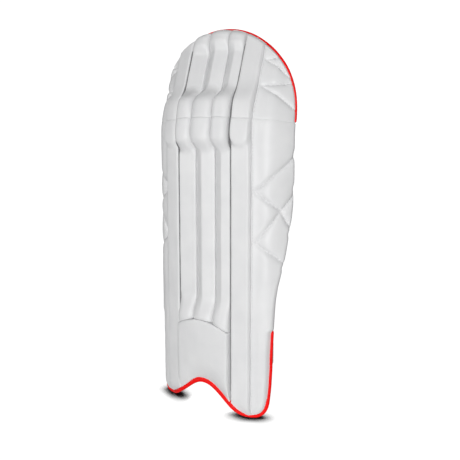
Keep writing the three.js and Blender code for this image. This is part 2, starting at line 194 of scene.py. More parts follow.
# ---- materials
class Nodes:
    """A small helper to build a node material line by line."""

    def __init__(self, name, colour, roughness, **sockets):
        self.material = bpy.data.materials.new(name)
        self.material.use_nodes = True
        self.tree = self.material.node_tree
        self.shader = self.tree.nodes["Principled BSDF"]
        self.shader.inputs["Base Color"].default_value = (*colour, 1)
        self.shader.inputs["Roughness"].default_value = roughness
        for socket, value in sockets.items():
            self.shader.inputs[socket.replace("_", " ")].default_value = value
        self.coords = self.add("ShaderNodeTexCoord").outputs["Object"]

    def add(self, kind, **values):
        node = self.tree.nodes.new(kind)
        for name, value in values.items():
            if name in node.inputs:
                node.inputs[name].default_value = value
            else:
                setattr(node, name, value)
        return node

    def link(self, out, socket):
        self.tree.links.new(out, socket)

    def noise(self, scale, detail):
        node = self.add("ShaderNodeTexNoise", Scale=scale, Detail=detail)
        self.link(self.coords, node.inputs["Vector"])
        return node.outputs["Fac"]

    def ramp(self, value, low, high, colours):
        node = self.add("ShaderNodeValToRGB")
        for element, at, colour in zip(node.color_ramp.elements, (low, high), colours):
            element.position = at
            element.color = (*colour, 1)
        self.link(value, node.inputs["Fac"])
        return node.outputs["Color"]

    def tint(self, value, low, high, dark, light):
        self.link(self.ramp(value, low, high, (dark, light)), self.shader.inputs["Base Color"])

    def rough(self, value, low, high):
        node = self.add("ShaderNodeMapRange", **{"To Min": low, "To Max": high})
        self.link(value, node.inputs["Value"])
        self.link(node.outputs["Result"], self.shader.inputs["Roughness"])

    def bumps(self, *layers):
        """Each layer is (height output, strength, distance in metres)."""
        normal = None
        for height, strength, distance in layers:
            node = self.add("ShaderNodeBump", Strength=strength, Distance=distance)
            self.link(height, node.inputs["Height"])
            if normal is not None:
                self.link(normal, node.inputs["Normal"])
            normal = node.outputs["Normal"]
        self.link(normal, self.shader.inputs["Normal"])

    def weave(self, scale):
        """A plain weave: two crossed waves, as a height."""
        waves = []
        for axis in ("X", "Z"):
            node = self.add("ShaderNodeTexWave", wave_profile="SIN", bands_direction=axis, Scale=scale)
            self.link(self.coords, node.inputs["Vector"])
            waves.append(node.outputs["Fac"])
        node = self.add("ShaderNodeMath", operation="MULTIPLY")
        self.link(waves[0], node.inputs[0])
        self.link(waves[1], node.inputs[1])
        return node.outputs["Value"]


def leather(name, dark, light, roughness, grain=0.12):
    made = Nodes(name, light, roughness, IOR=1.46, Coat_Weight=0.06, Coat_Roughness=0.4)
    made.tint(made.noise(22, 4), 0.35, 0.65, dark, light)
    made.rough(made.noise(60, 3), roughness - 0.04, roughness + 0.06)
    cells = made.add("ShaderNodeTexVoronoi", feature="DISTANCE_TO_EDGE", Scale=900)
    made.link(made.coords, cells.inputs["Vector"])
    made.bumps((cells.outputs["Distance"], grain, 0.0003), (made.noise(140, 4), 0.1, 0.0006))
    return made.material


def cloth(name, dark, light, weave_scale, fuzz=0.3, sheen=0.25):
    made = Nodes(name, light, 0.85, Sheen_Weight=sheen, Sheen_Roughness=0.5)
    made.tint(made.noise(60, 5), 0.35, 0.65, dark, light)
    made.bumps((made.weave(weave_scale), 0.4, 0.0004), (made.noise(1400, 2), fuzz, 0.0003))
    return made.material


WHITE = leather("white_leathercloth", (0.745, 0.748, 0.754), (0.785, 0.786, 0.79), 0.5)
RED = leather("red_binding_tape", (0.95, 0.003, 0.003), (1.0, 0.007, 0.006), 0.55, 0.16)
RED.node_tree.nodes["Principled BSDF"].inputs["Specular IOR Level"].default_value = 0.12
LINING = cloth("lining_cloth", (0.66, 0.68, 0.71), (0.74, 0.755, 0.775), 260)
CUSHION = cloth("brushed_cushion_cloth", (0.70, 0.715, 0.74), (0.79, 0.80, 0.815), 180, 0.5, 0.4)
WEBBING = cloth("strap_webbing", (0.72, 0.72, 0.715), (0.82, 0.82, 0.81), 90, 0.2)
LOOP = cloth("loop_tape", (0.74, 0.74, 0.735), (0.84, 0.84, 0.83), 320, 0.9, 0.6)
HOOK = cloth("hook_tape", (0.55, 0.55, 0.545), (0.70, 0.70, 0.69), 420, 0.6, 0.1)
# The seam cords' dark colour is painted shade: it darkens the creases beside the bolsters.
PAINTED_SHADE_CORD = cloth("crease_shade_cord", (0.17, 0.17, 0.175), (0.26, 0.26, 0.265), 700, 0.2)
THREAD = cloth("sewing_thread", (0.66, 0.66, 0.665), (0.76, 0.76, 0.765), 700, 0.2)
RED_THREAD = cloth("red_sewing_thread", (0.55, 0.01, 0.012), (0.7, 0.02, 0.02), 700, 0.2)
CANE = Nodes("split_cane", (0.62, 0.44, 0.22), 0.6)
CANE.tint(CANE.noise(90, 6), 0.3, 0.7, (0.45, 0.29, 0.12), (0.68, 0.5, 0.27))
CANE.bumps((CANE.noise(300, 4), 0.3, 0.0003))


# ---- meshes
def mesh_object(name, points, faces, materials, indices=None, sharp=40):
    mesh = bpy.data.meshes.new(name)
    mesh.from_pydata([tuple(p) for p in np.asarray(points).reshape(-1, 3)], [], faces)
    if indices is not None:
        mesh.polygons.foreach_set("material_index", indices)
    work = bmesh.new()
    work.from_mesh(mesh)
    bmesh.ops.recalc_face_normals(work, faces=work.faces)
    for face in work.faces:
        face.smooth = True
    for edge in work.edges:
        edge.smooth = edge.calc_face_angle(0) < math.radians(sharp)
    work.to_mesh(mesh)
    work.free()
    for material in materials:
        mesh.materials.append(material)
    made = bpy.data.objects.new(name, mesh)
    bpy.context.scene.collection.objects.link(made)
    return made


def fan_cap(row, hub):
    """Closes a ring with triangles to one middle point."""
    return [[hub, a, b] for a, b in zip(row, row[1:] + row[:1])]


def strip_cap(row, width):
    """Joins the front half of a flattened ring to its back half."""
    sides = len(row) // 2 - width
    mate = [row[2 * width + sides - 1 - k] for k in range(width)]
    across = [[row[k], row[k + 1], mate[k + 1], mate[k]] for k in range(width - 1)]
    return across + [row[width - 1:width + sides + 1], row[2 * width + sides - 1:] + row[:1]]


def tube(name, rings, materials, inner=None, sharp=40, flat=0):
    """A closed body from a stack of closed rings, rows by columns by 3, capped at each end.

    Columns from inner[0] to inner[1] take the second material. flat is the width of a slab's face, where
    the ring is too curved for a cap that meets in one point.
    """
    rows, columns = rings.shape[:2]
    at = np.arange(rows * columns).reshape(rows, columns)
    turned = np.roll(at, -1, axis=1)
    faces = np.stack([at[:-1], turned[:-1], turned[1:], at[1:]], -1).reshape(-1, 4).tolist()
    indices = np.zeros((rows - 1, columns), int)
    if inner is not None:
        indices[:, inner[0]:inner[1]] = 1
    points = rings.reshape(-1, 3)
    if flat:
        faces += strip_cap(at[0].tolist(), flat) + strip_cap(at[-1].tolist(), flat)
    else:
        points = np.concatenate([points, [rings[0].mean(0)], [rings[-1].mean(0)]])
        faces += fan_cap(at[0].tolist(), rows * columns) + fan_cap(at[-1].tolist(), rows * columns + 1)
    indices = indices.ravel().tolist()
    indices += [0] * (len(faces) - len(indices))
    return mesh_object(name, points, faces, materials, indices, sharp)


def shell(name, face, back, materials, sides=3):
    """A closed slab between two grids of points, each rows by columns by 3."""
    back = back[:, ::-1]
    right = [mix(face[:, -1], back[:, 0], k / (sides + 1)) for k in range(1, sides + 1)]
    left = [mix(back[:, -1], face[:, 0], k / (sides + 1)) for k in range(1, sides + 1)]
    rings = np.concatenate(
        [face] + [r[:, None] for r in right] + [back] + [r[:, None] for r in left], axis=1)
    columns = face.shape[1]
    inner = (columns + sides, 2 * columns + sides - 1) if len(materials) > 1 else None
    return tube(name, rings, materials, inner, flat=columns)


def grid_sheet(points):
    """An open sheet of quads, only used to run a cloth simulation."""
    rows, columns = points.shape[:2]
    at = np.arange(rows * columns).reshape(rows, columns)
    faces = np.stack([at[:-1, :-1], at[:-1, 1:], at[1:, 1:], at[1:, :-1]], -1).reshape(-1, 4).tolist()
    mesh = bpy.data.meshes.new("cloth")
    mesh.from_pydata([tuple(p) for p in points.reshape(-1, 3)], [], faces)
    made = bpy.data.objects.new("cloth", mesh)
    bpy.context.scene.collection.objects.link(made)
    return made


def inflate(points, pins, pressure, frames, cap, stretch=0.0):
    """Swells a grid of points like cloth filled from behind. Pinned points stay; none moves past the cap."""
    rows, columns = points.shape[:2]
    sheet = grid_sheet(points)
    group = sheet.vertex_groups.new(name="pin")
    for index, weight in enumerate(pins.ravel().tolist()):
        if weight > 0:
            group.add([index], weight, "REPLACE")
    cloth = sheet.modifiers.new("cloth", "CLOTH")
    settings = cloth.settings
    settings.quality = 6
    settings.mass = 0.15
    settings.tension_stiffness = settings.compression_stiffness = 25
    settings.shear_stiffness = 15
    settings.bending_stiffness = 4
    settings.effector_weights.gravity = 0
    settings.use_pressure = True
    settings.uniform_pressure_force = pressure
    settings.vertex_group_mass = "pin"
    settings.shrink_min = -stretch
    cloth.point_cache.frame_start, cloth.point_cache.frame_end = 1, frames
    for frame_number in range(1, frames + 1):
        bpy.context.scene.frame_set(frame_number)
    evaluated = sheet.evaluated_get(bpy.context.evaluated_depsgraph_get())
    moved = np.empty(rows * columns * 3)
    evaluated.data.vertices.foreach_get("co", moved)
    moved = moved.reshape(rows, columns, 3) - points
    bpy.context.scene.frame_set(1)
    mesh = sheet.data
    bpy.data.objects.remove(sheet)
    bpy.data.meshes.remove(mesh)
    far = np.linalg.norm(moved, axis=-1, keepdims=True)
    return points + moved * np.minimum(1, cap / np.maximum(far, 1e-9))


def refine(points):
    """Doubles a grid of points, on a smooth curve through them, in both directions."""
    for _ in range(2):
        ends = np.concatenate([2 * points[:1] - points[1:2], points, 2 * points[-1:] - points[-2:-1]])
        middle = (9 * (points[1:] + points[:-1]) - ends[:-3] - ends[3:]) / 16
        full = np.empty((2 * len(points) - 1, *points.shape[1:]))
        full[::2], full[1::2] = points, middle
        points = full.swapaxes(0, 1)
    return points


PIECES = []


def declare(piece, body, slot, *nodes, knee=False, fill=None):
    """Keeps a piece with what it stands for. At the end, once every mesh is finished, each piece is baked in
    place or parented to its body, and the CAD nodes it stands for are hidden.
    """
    PIECES.append((piece, body, slot, nodes, knee, fill))
    return piece


def dense(low, high, step):
    """Even spacing from low to high, close to a step."""
    return np.linspace(low, high, max(2, int(round((high - low) / step)) + 1))


def wavy(s, t, size):
    """Slow unevenness of stuffing under the cover, in millimetres."""
    total = 0
    for across, along, phase in ((31, 97, 0.3), (53, 61, 1.9), (23, 143, 4.1), (77, 37, 2.6)):
        total = total + np.sin(2 * np.pi * (s / across + t / along) + phase)
    return size * total / 4


def end_round(distance, reach, drop):
    """How far the cover has dropped at a distance from a seam, on a rounded shoulder."""
    q = np.clip(1 - distance / reach, 0, 1)
    return drop * (1 - np.sqrt(1 - q * q))


def ramp_between(t, low, high):
    return smooth((t - low) / (high - low))


# ---- rolls and bolsters
def flat_profile(left, right, top, flanks):
    """A strip with a sloping flank on each side, given as (reach, drop)."""
    for edge, (reach, drop) in zip((left, right), flanks):
        q = edge / reach
        top = top - drop * np.clip(1 - (q + 1 - np.sqrt((q - 1) ** 2 + 0.001)) / 2, 0, 1)
    return top


def round_profile(across, top, depth):
    """A stuffed tube pressed between its neighbours: a dome with steep sides."""
    return top - depth * (1 - np.power(1 - np.power(np.abs(across), 2.7), 0.5))


def ease_to_binding(h, s, distance, reach):
    """Brings a cover down to its edge under the lower binding, over a reach."""
    low = EDGE_COVER + arch_rise(s)
    return low + (h - low) * np.sin(np.pi / 2 * np.clip(distance / reach, 0, 1)) ** 0.8


def roll_cover(name, s0, s1, low, high, top_at, round_at, shape, ends, slope, *nodes):
    """One channel's cover.

    top_at and round_at give the height and how round the section is, from flat strip to tube. shape is the
    flanks, the dome's depth and the two side grooves' depths. ends is (reach, drop) at the foot and at the
    top. slope is 0 for a roll, and the outer side for a bolster.
    """
    across = (1 - np.cos(np.linspace(0, np.pi, 45))) / 2
    v = np.concatenate([[0, 0.001], dense(0.004, 0.996, 0.006), [0.999, 1]])
    u, v = np.meshgrid(across, v)
    s = mix(s0, s1, u)
    t = mix(low(s), high(s), v)
    width = s1 - s0
    side = np.abs(2 * u - 1)
    flanks, depth, groove = shape
    top = top_at(t, side)
    h = mix(flat_profile(u * width, (1 - u) * width, top, flanks), round_profile(2 * u - 1, top, depth),
            round_at(t, side))
    if slope:
        outer_edge = (1 - u if slope > 0 else u) * width
        h = h - 1.2 * (1 - outer_edge / width) - end_round(outer_edge, 4.5, 5)
        h = h - end_round(width - outer_edge, 1.8, 9)
    else:
        h = h - end_round(u * width, 1.4, groove[0]) - end_round((1 - u) * width, 1.4, groove[1])
    h = h + wavy(s, t, 0.3)
    (reach0, drop0), (reach1, drop1) = ends
    if reach0:
        h = h - end_round(t - low(s), reach0, drop0)
    else:
        h = ease_to_binding(h, s, t - low(s), 22)
    h = h - end_round(high(s) - t, reach1, np.maximum(0, drop1(h) if callable(drop1) else drop1))
    piece = shell(name, place(s, t, h), place(s, t, COVER_BACK + 0 * h), [WHITE])
    return declare(piece, None, "cover", *nodes, knee=True, fill=0.85)


def lower_inner_top(t, side):
    bulge = ramp_between(t, 445 + 10 * side ** 3, 475 + 4 * side ** 3)
    swell = 1 - ramp_between(t, 162, 204)
    return 20 + 13.5 * bulge + 1.2 * np.sin(np.pi * np.clip((t - 455) / 46, 0, 1)) + 10 * swell


def lower_inner_round(t, side):
    return np.maximum(ramp_between(t, 444, 468), 0.8 * (1 - ramp_between(t, 176, 212)))


def upper_inner_top(t, side):
    bulge = 1 - ramp_between(t, 519 - 3 * side ** 3, 556 - 8 * side ** 3)
    return 18 + 15.5 * bulge + 1.2 * np.sin(np.pi * np.clip((t - 499) / 44, 0, 1))


def lower_bolster_top(t, side):
    bulge = ramp_between(t, 455 + 14 * side ** 3, 467 + 14 * side ** 3)
    return 20 + 4.5 * bulge + 1.5 * np.sin(np.pi * np.clip((t - 455) / 46, 0, 1))


def upper_bolster_top(t, side):
    bulge = 1 - ramp_between(t, 522, 562)
    return 18.5 + 5 * bulge + 1.5 * np.sin(np.pi * np.clip((t - 499) / 44, 0, 1))


def lower_bolster_round(t, side):
    return 0.35 * ramp_between(t, 450, 468)


def upper_bolster_round(t, side):
    return 0.35 * (1 - ramp_between(t, 526, 552))


CHANNELS = [
    ("left_bolster", -BOLSTER_EDGE, -INNER_EDGE),
    ("inner_left_roll", -INNER_EDGE, -CENTRE_EDGE),
    ("centre_roll", -CENTRE_EDGE, CENTRE_EDGE),
    ("inner_right_roll", CENTRE_EDGE, INNER_EDGE),
    ("right_bolster", INNER_EDGE, BOLSTER_EDGE),
]


def above_instep(s):
    return instep_top(s) + 0.15


def knee_line(s):
    return np.full_like(s, KNEE)


def below_knee(s):
    return knee_line(s) - SEAM_GAP


def above_knee(s):
    return knee_line(s) + SEAM_GAP


def crown_top(s):
    """The upper edge of the covers, under the crown's front lip."""
    return crown(s, CROWN_ROOM)


def to_binding(h):
    """The drop from a height to a cover's edge under a binding."""
    return h - EDGE_HEIGHT + 0.8


# Each inner roll's flanks, left then right, as (reach, drop), and its two grooves' depths.
ROLL_SHAPES = {
    "inner_left_roll": (((2.2, 3), (30, 6)), (8, 1.5)),
    "centre_roll": (((18, 10), (21, 7)), (1.5, 1.5)),
    "inner_right_roll": (((17, 10), (15, 3.5)), (1.5, 9)),
}
ROLL_ROUND, ROLL_GAP, CORD_GAP = 12, 0.3, 0.85
BOLSTER_SHAPE = (((3.5, 1.5), (3.5, 1.5)), 8, None)
KNEE_CREASE, ROLL_FOOT = (1.5, 0.55), (6, 2.6)


def side_gap(edge):
    """The room a cover leaves beside a seam: wider where a cord lies in it."""
    return ROLL_GAP if abs(edge) < INNER_EDGE else CORD_GAP if abs(edge) == INNER_EDGE else 0


for channel, s_left, s_right in CHANNELS:
    inner = "roll" in channel
    outward = 0 if inner else (1 if s_left > 0 else -1)
    s0, s1 = s_left + side_gap(s_left), s_right - side_gap(s_right)
    if inner:
        crest = float(crown_top(np.array((s0 + s1) / 2)))
        flanks, groove = ROLL_SHAPES[channel]
        shape = (flanks, ROLL_ROUND, groove)

        def upper_inner_round(t, side, crest=crest):
            return np.maximum(1 - ramp_between(t, 526, 548), 0.9 * ramp_between(t, crest - 40, crest - 18))

        roll_cover(f"cover_{channel}_shin", s0, s1, above_instep, below_knee, lower_inner_top,
                   lower_inner_round, shape, (ROLL_FOOT, KNEE_CREASE), 0, f"{channel}_shin")

        def upper_top(t, side, crest=crest):
            return upper_inner_top(t, side) + 6 * ramp_between(t, crest - 40, crest - 20)

        roll_cover(f"cover_{channel}_knee", s0, s1, above_knee, crown_top, upper_top,
                   upper_inner_round, shape, (KNEE_CREASE, (13, to_binding)), 0, f"{channel}_knee")
    else:
        roll_cover(f"cover_{channel}_shin", s0, s1, cover_foot, below_knee, lower_bolster_top,
                   lower_bolster_round, BOLSTER_SHAPE, ((0, None), KNEE_CREASE), outward,
                   f"{channel}_shin")
        roll_cover(f"cover_{channel}_knee", s0, s1, above_knee, crown_top, upper_bolster_top,
                   upper_bolster_round, BOLSTER_SHAPE, (KNEE_CREASE, (8, to_binding)), outward,
                   f"{channel}_knee")


# ---- dark cords in the seams beside the bolsters: their darkness is painted shade for the creases
CORD_RADIUS, CORD_STRANDS, CORD_TWIST = 1.25, 3, 2.2
CORD_FADE = 16  # length over which a cord sinks away at its outer end


def crease_shade_cord(name, s, low, high, height):
    """A thin twisted dark cord sunk in a seam; its darkness is painted shade for the crease. height gives h
    along t.
    """
    t = dense(low, high, 1.6)
    turn = np.linspace(0, 2 * np.pi, 10, endpoint=False)
    radius = CORD_RADIUS + 0.1 * np.cos(CORD_STRANDS * (turn[None] + t[:, None] / CORD_TWIST))
    rings = place(s + radius * np.cos(turn), t[:, None], height(t)[:, None] + radius * np.sin(turn))
    declare(tube(name, rings, [PAINTED_SHADE_CORD], sharp=80), None, "cover", knee=True)


for label, s, sunk in (("left", -INNER_EDGE, 2.4), ("right", INNER_EDGE, 4.4)):
    start = float(cover_foot(np.array(s))) + 9
    stop = float(crown_top(np.array(s))) - 12
    crease_shade_cord(f"crease_shade_cord_{label}_shin", s, start, KNEE - 0.4,
              lambda t: lower_bolster_top(t, 0) - sunk - 4 * smooth((start + CORD_FADE - t) / CORD_FADE))
    crease_shade_cord(f"crease_shade_cord_{label}_knee", s, KNEE + 0.4, stop,
              lambda t: upper_bolster_top(t, 0) - sunk - 4 * smooth((t - stop + CORD_FADE) / CORD_FADE))


# ---- instep panel
INSTEP_HALF_WIDTH, INSTEP_HEIGHT = INNER_EDGE - 0.35, 29.6


def instep_height(s, t):
    side = INSTEP_HALF_WIDTH - np.abs(s)
    h = INSTEP_HEIGHT + 0.8 * bump(s / 40) * bump((t - 105) / 45) + wavy(s, t, 0.3)
    h = h - end_round(side, 9, 1.6) - end_round(side, 1.6, 6) - end_round(instep_top(s) - t, 4, 2.4)
    h = h - end_round(INSTEP_HALF_WIDTH + s, 12, 2.4)
    return ease_to_binding(h, s, t - cover_foot(s), 40)


u, v = np.meshgrid((1 - np.cos(np.linspace(0, np.pi, 71))) / 2, np.linspace(0, 1, 60) ** 1.2)
s = mix(-INSTEP_HALF_WIDTH, INSTEP_HALF_WIDTH, u)
t = mix(cover_foot(s), instep_top(s) - 0.15, v)
panel = shell("cover_instep_panel", place(s, t, instep_height(s, t)), place(s, t, COVER_BACK + 0 * s), [WHITE])
declare(panel, "shin_section", "cover", "instep_panel", fill=0.8)


# ---- wings
# The quilting seams on a wing, as polylines of (s, t).
LOWER_SEAMS = [
    [(158, 447), (147, 437.6), (96, 391), (90, 386)],
    [(90, 389), (93, 385), (129, 358), (143, 333), (156, 318)],
    [(160, 392), (148.9, 377), (128.3, 352), (96.5, 307.7), (90, 301)],
    [(90, 305), (94, 302.5), (130.6, 274), (150, 262)],
]
UPPER_SEAMS = [
    [(90, 597), (99, 598), (112, 602), (118, 606)],
    [(90, 597), (110, 588), (127.6, 574.6), (140, 566)],
    [(90, 552.7), (112, 556), (131, 562.8), (146, 567)],
    [(90, 552.7), (118, 540), (143.4, 526.6), (158, 518)],
]


# How far inside the outline the lower wing's edge lies, at heights t.
RIGHT_CORNER = [(5, 11), (6.5, 10.5), (8.5, 7), (12.6, 6), (17.5, 4.6), (26, 3.8), (35, 3.4)]
LEFT_CORNER = [(5, 8), (6.5, 6), (9, 4.6), (14, 3.8), (24, 3.4)]
QUILT_WIDTH, QUILT_DEPTH_SHIN, QUILT_DEPTH_KNEE = 4.2, 4.4, 3.6
WING_SEAM_HEIGHT, WING_HEIGHT, WING_CREST = 12.6, 9.4, 3.6
WING_PRESSURE, WING_FRAMES, WING_CAP = 1.6, 14, 0.0025


def seam_distance(s, t, line):
    """Distance of each point from a polyline in pad coordinates."""
    nearest = np.full(s.shape, 1e9)
    for (s0, t0), (s1, t1) in zip(line, line[1:]):
        ds, dt = s1 - s0, t1 - t0
        f = np.clip(((s - s0) * ds + (t - t0) * dt) / (ds * ds + dt * dt), 0, 1)
        nearest = np.minimum(nearest, np.hypot(s - s0 - f * ds, t - t0 - f * dt))
    return nearest


def quilted(s, t, seams):
    """0 on a quilting seam, rising to 1 between them."""
    puff = np.ones_like(s)
    for line in seams:
        puff = puff * (1 - np.exp(-seam_distance(s, t, line) / QUILT_WIDTH))
    return puff


def wing_cover(part, side, label):
    """One wing's cover above or below the knee seam: quilted, and swollen by a cloth simulation."""
    lower = part == "shin"
    seams = LOWER_SEAMS if lower else UPPER_SEAMS
    ts = dense(5.0, KNEE - SEAM_GAP, 3.4) if lower else dense(KNEE + SEAM_GAP, 621, 3.0)
    around = np.concatenate([np.linspace(0, 0.9, 21), 0.9 + 0.1 * np.sin(np.linspace(0.2, np.pi / 2, 7))])
    u, t = np.meshgrid(around, ts)
    if lower:
        outline = lookup(RIGHT_EDGE if side > 0 else LEFT_EDGE, t) + 0 * u
        bound = 1 - ramp_between(t, BINDING_TOP - 2, BINDING_TOP + 3)
        edge = outline - bound * lookup(RIGHT_CORNER if side > 0 else LEFT_CORNER, t)
        notch = sum(bump((t - line[k][1]) / 6) for line in seams for k in (0, -1) if line[k][0] > 140)
        edge = edge - 2.0 * notch
    else:
        edge = upper_edge(t, CROWN_BINDING - UNDER_LIP)
        bound = np.ones_like(t)
    s = mix(BOLSTER_EDGE + 0.15, np.maximum(edge, BOLSTER_EDGE + 1.5), u)
    puff = quilted(s, t, seams)
    rise = 1 - np.exp(-np.square((s - BOLSTER_EDGE) / 9))
    crest = WING_HEIGHT + WING_CREST * bump((s - 110) / 14)
    outer = WING_SEAM_HEIGHT + (crest - WING_SEAM_HEIGHT) * rise
    outer = outer - 0.8 * bump((s - BOLSTER_EDGE) / 1.6) + wavy(s, t, 0.3)
    from_edge = edge - s
    quilt = (QUILT_DEPTH_SHIN if lower else QUILT_DEPTH_KNEE) * (1 - puff)
    outer = outer - quilt * mix(0.35, 1, rise) * (1 - bound * bump(from_edge / 7))
    outer = mix(outer, 6.8, bound * bump(from_edge / (4.5 if lower else 2.8)))
    outer = outer - (1 - bound) * end_round(from_edge, 7, outer - 0.6)
    outer = outer - end_round(np.abs(KNEE - t), 1.8, 0.45)
    if lower:
        outer = ease_to_binding(outer, s, t - 4.5, 20)
    inner = -BACKING - (0.3 if lower else 0) + (1 - bound) * end_round(from_edge, 5, BACKING + 0.2)
    inner = np.minimum(inner, outer - 0.8)
    face = place(side * s, t, outer)
    seam_pin = sum(np.exp(-np.square(seam_distance(s, t, line) / 2.2)) for line in seams)
    pins = np.clip(seam_pin, 0, 1)
    pins[pins < 0.35] = 0
    pins[:, :2], pins[:, -4:], pins[:2], pins[-2:] = 1, 1, 1, 1
    flip = slice(None, None, -1) if side < 0 else slice(None)
    swollen = inflate(face[:, flip], pins[:, flip], WING_PRESSURE, WING_FRAMES, WING_CAP)[:, flip]
    face, back = refine(swollen), refine(place(side * s, t, inner))
    fine_s, fine_t = refine(np.stack([s, t], -1)).transpose(2, 0, 1)
    away = np.minimum.reduce([seam_distance(fine_s, fine_t, line) for line in seams])
    normal = place(side * fine_s, fine_t, 1) - place(side * fine_s, fine_t, 0)
    face = face - normal * (1.1 * bump(away / 1.3) * (fine_s > 92))[..., None]
    piece = shell(f"cover_{label}_wing_{part}", face, back, [WHITE, LINING], sides=2)
    declare(piece, None, "cover", f"{label}_wing_{part}", f"{label}_welt_{part}", knee=True, fill=0.5)
    return piece


WINGS = {}
for label, side in (("left", -1), ("right", 1)):
    for part in ("shin", "knee"):
        WINGS[label, part] = wing_cover(part, side, label)


# ---- backing and lining
RECESS = 0.65  # how far the arch's edge leans inwards, per millimetre that it stands forward


def lining_piece(part):
    """The ribbed lining over the backing board, on the leg side."""
    lower = part == "shin"
    u, v = np.meshgrid(np.linspace(-1, 1, 97), np.linspace(0, 1, 110 if lower else 40))
    s = u * (BOLSTER_EDGE - 0.6)
    if lower:
        t = mix(foot(s, ROOM + RECESS * arch_rise(s)), KNEE - SEAM_GAP, v)
    else:
        t = mix(KNEE + SEAM_GAP, crown(s, ROOM), v)
    rib = 0.3 * np.abs(np.cos(np.pi * s / 17.2)) ** 0.6
    piece = shell(f"lining_{part}", place(s, t, -0.2 + 0 * s), place(s, t, -BACKING + 0.2 - rib), [LINING],
                  sides=1)
    nodes = [f"{part}_backing"] + (["knee_hinge_web"] if lower else [])
    declare(piece, None, "lining", *nodes, knee=True, fill=0.3)


lining_piece("shin")
lining_piece("knee")


# ---- cushions on the leg side
CUSHION_PRESSURE, CUSHION_FRAMES, CUSHION_CAP, CUSHION_STRETCH = 3.0, 16, 0.0035, 0.01
SHIN_CUSHION, KNEE_CUSHION, INSTEP_CUSHION_TOP = (118, 480), (KNEE + 32, KNEE + 118), 112


def cushion(name, s0, s1, low, high, depth, channels, node, body):
    """A quilted cushion: a crowned pillow with cross seams at the given places along it."""
    us = (1 - np.cos(np.linspace(0, np.pi, 27))) / 2
    length = float(high(0.0) - low(0.0))
    v = dense(0, 1, 3.2 / length)
    u, v = np.meshgrid(us, v)
    s = mix(s0 + 1, s1 - 1, u)
    t = mix(low(s) + 1, high(s) - 1, v)
    edge = np.minimum.reduce([s - s0, s1 - s, t - low(s), high(s) - t])
    thick = 2.4 + (depth - 4.5) * np.sqrt(1 - np.square(1 - np.clip(edge / 15, 0, 1)))
    cross = np.ones_like(s)
    for at in channels:
        cross = cross * (1 - 0.72 * np.exp(-np.abs(v - at) * length / 5.0))
    back = -BACKING - 0.6
    face = place(s, t, back - thick * cross)
    pins = np.clip(sum(np.exp(-np.square((v - at) * length / 2.6)) for at in channels), 0, 1)
    pins[pins < 0.4] = 0
    pins[:, :2], pins[:, -2:], pins[:2], pins[-2:] = 1, 1, 1, 1
    swollen = inflate(face[:, ::-1], pins[:, ::-1], CUSHION_PRESSURE, CUSHION_FRAMES, CUSHION_CAP,
                      CUSHION_STRETCH)[:, ::-1]
    face = refine(swollen)
    piece = shell(name, refine(place(s, t, back + 0 * s))[:, ::-1], face[:, ::-1], [CUSHION], sides=2)
    declare(piece, body, "lining", node, fill=0.7)


def level(t):
    """A cushion's straight edge at a height."""
    return lambda s: t + 0 * s


shin_channels = [k / 6 for k in range(1, 6)]
for label, s0, s1 in (("left", -62, -20), ("right", 20, 62)):
    cushion(f"cushion_shin_{label}", s0, s1, level(SHIN_CUSHION[0]), level(SHIN_CUSHION[1]), 15,
            shin_channels, f"shin_cushion_{label}", "shin_section")
cushion("cushion_instep", -62, 62, lambda s: foot(s, 14) + 4, level(INSTEP_CUSHION_TOP), 11, [0.5],
        "instep_cushion", "shin_section")
cushion("cushion_knee", -66, 66, level(KNEE_CUSHION[0]), level(KNEE_CUSHION[1]), 14, [1 / 3, 2 / 3],
        "knee_cushion", "knee_section")


# ---- edge bindings
TAPE_STEP = 2.2


def resample(line, step):
    """Points evenly spaced along a polyline."""
    line = np.asarray(line, float)
    length = np.concatenate([[0], np.cumsum(np.hypot(*np.diff(line, axis=0).T))])
    at = dense(0, length[-1], step)
    return np.stack([np.interp(at, length, line[:, k]) for k in (0, 1)], -1)


def soften(line, times):
    """Rounds a polyline's corners, in place."""
    for _ in range(times):
        line[1:-1] = (line[:-2] + 2 * line[1:-1] + line[2:]) / 4
    return line


def side_trim(line):
    """How much narrower the front lip is where the binding runs up the wing."""
    return 2.2 * smooth((line[:, 1] - 28) / 14) * (np.abs(line[:, 0]) > 100)


